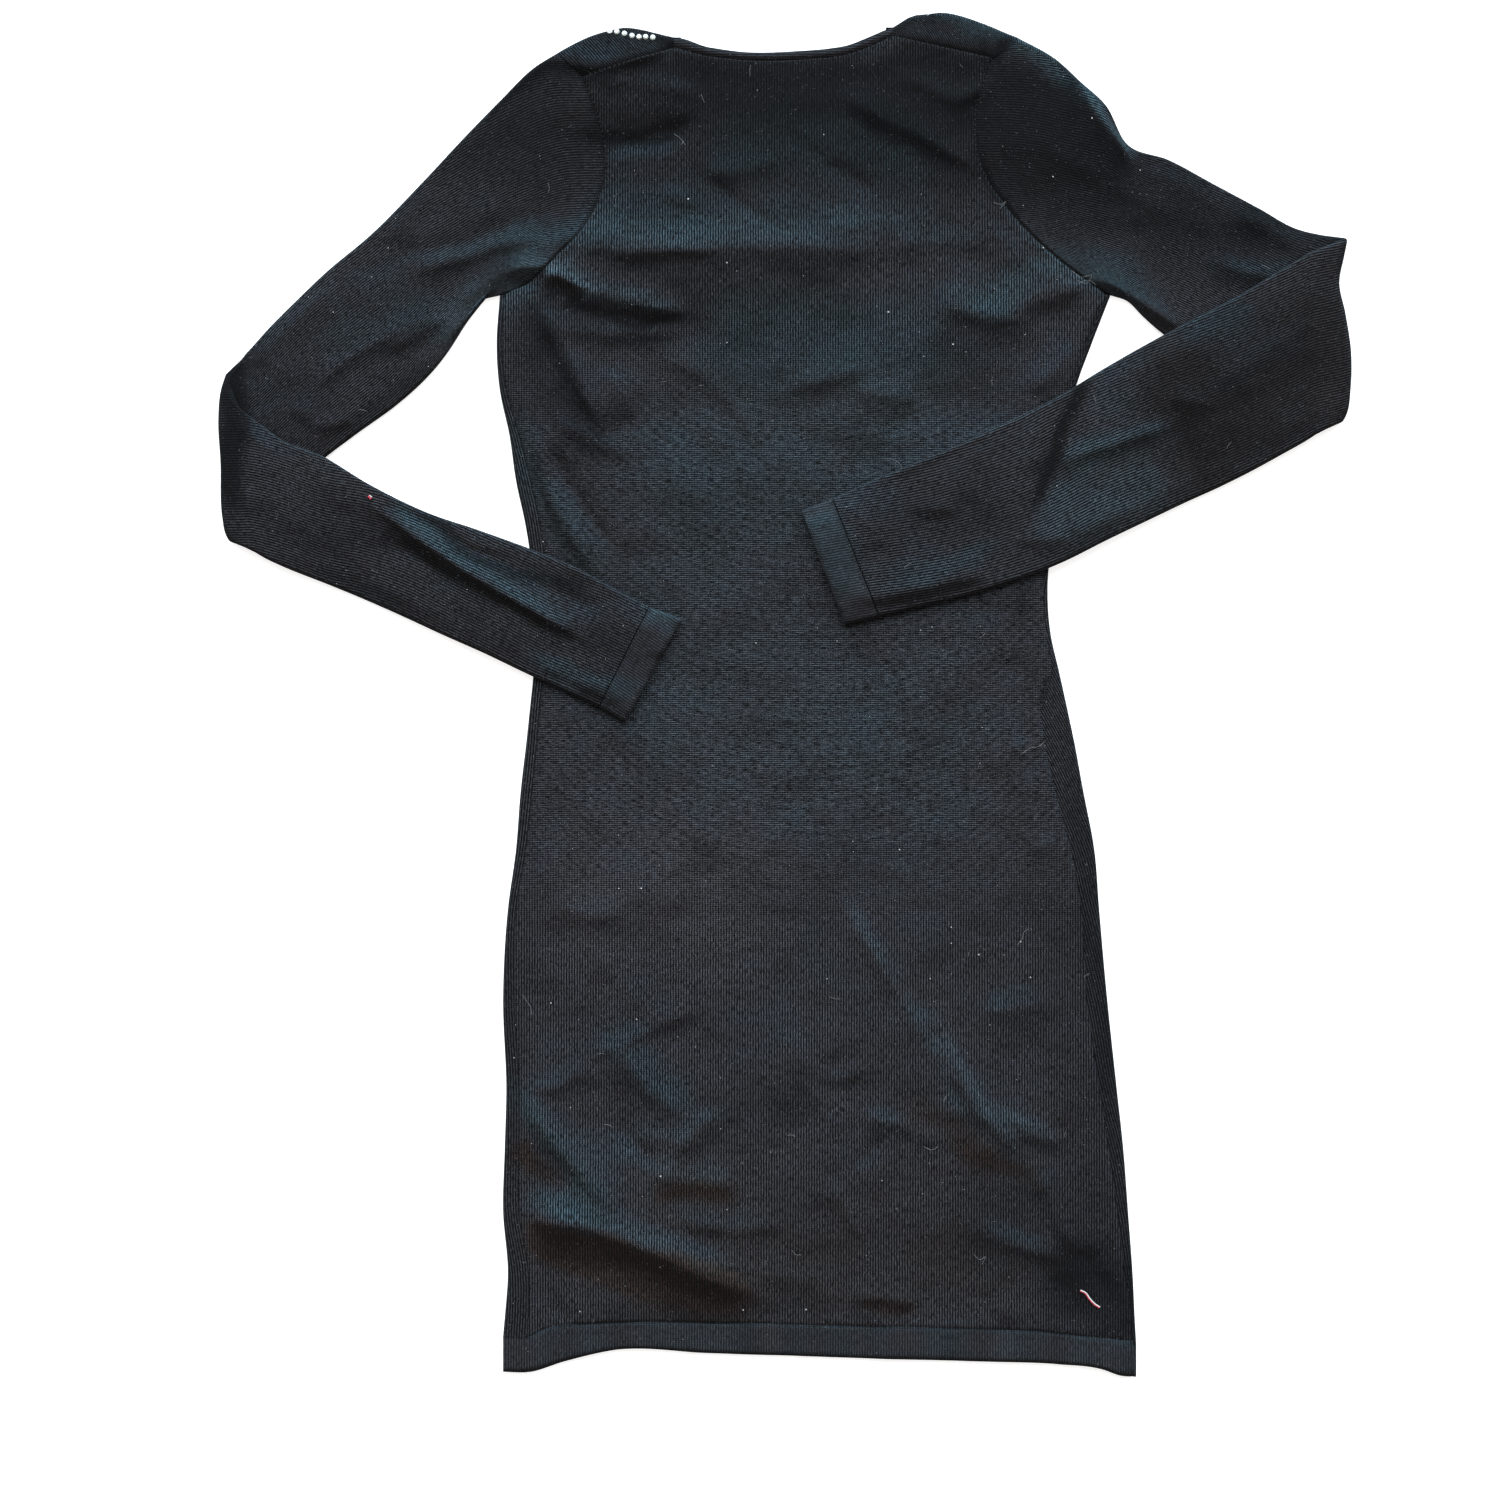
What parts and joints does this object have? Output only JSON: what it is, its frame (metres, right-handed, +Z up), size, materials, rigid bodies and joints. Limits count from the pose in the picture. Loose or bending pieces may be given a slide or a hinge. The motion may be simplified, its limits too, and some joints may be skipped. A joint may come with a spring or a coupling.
{
  "type": "bodycon dress",
  "caption": "Long-sleeved knit bodycon dress laid flat on its front, sleeves folded back over the waist, with turned hem and cuffs.",
  "frame": {"origin": "middle of the footprint, on the surface that the dress lies on", "axes": "+Z up from the surface, +Y from the hem to the neck, +X across the dress, to the right as one looks down on its back"},
  "size_m": [0.6962, 0.8452, 0.0121],
  "materials": {
    "knit": "fine ribbed black knit with a soft sheen",
    "turned_knit": "the same knit turned up, pressed and stitched",
    "rhinestone": "small clear faceted stones on the front neck edge",
    "thread": "black sewing thread, and one red scrap of thread",
    "lint": "pale specks of lint and short stray fibres"
  },
  "bodies": {
    "root": {"back_panel": "knit", "front_panel": "knit", "left_sleeve": "knit", "right_sleeve": "knit", "back_hem": "turned_knit", "front_hem": "turned_knit", "left_cuff": "turned_knit", "right_cuff": "turned_knit", "back_neck_band": "turned_knit", "front_neck_band": "turned_knit"}
  },
  "joints": []
}
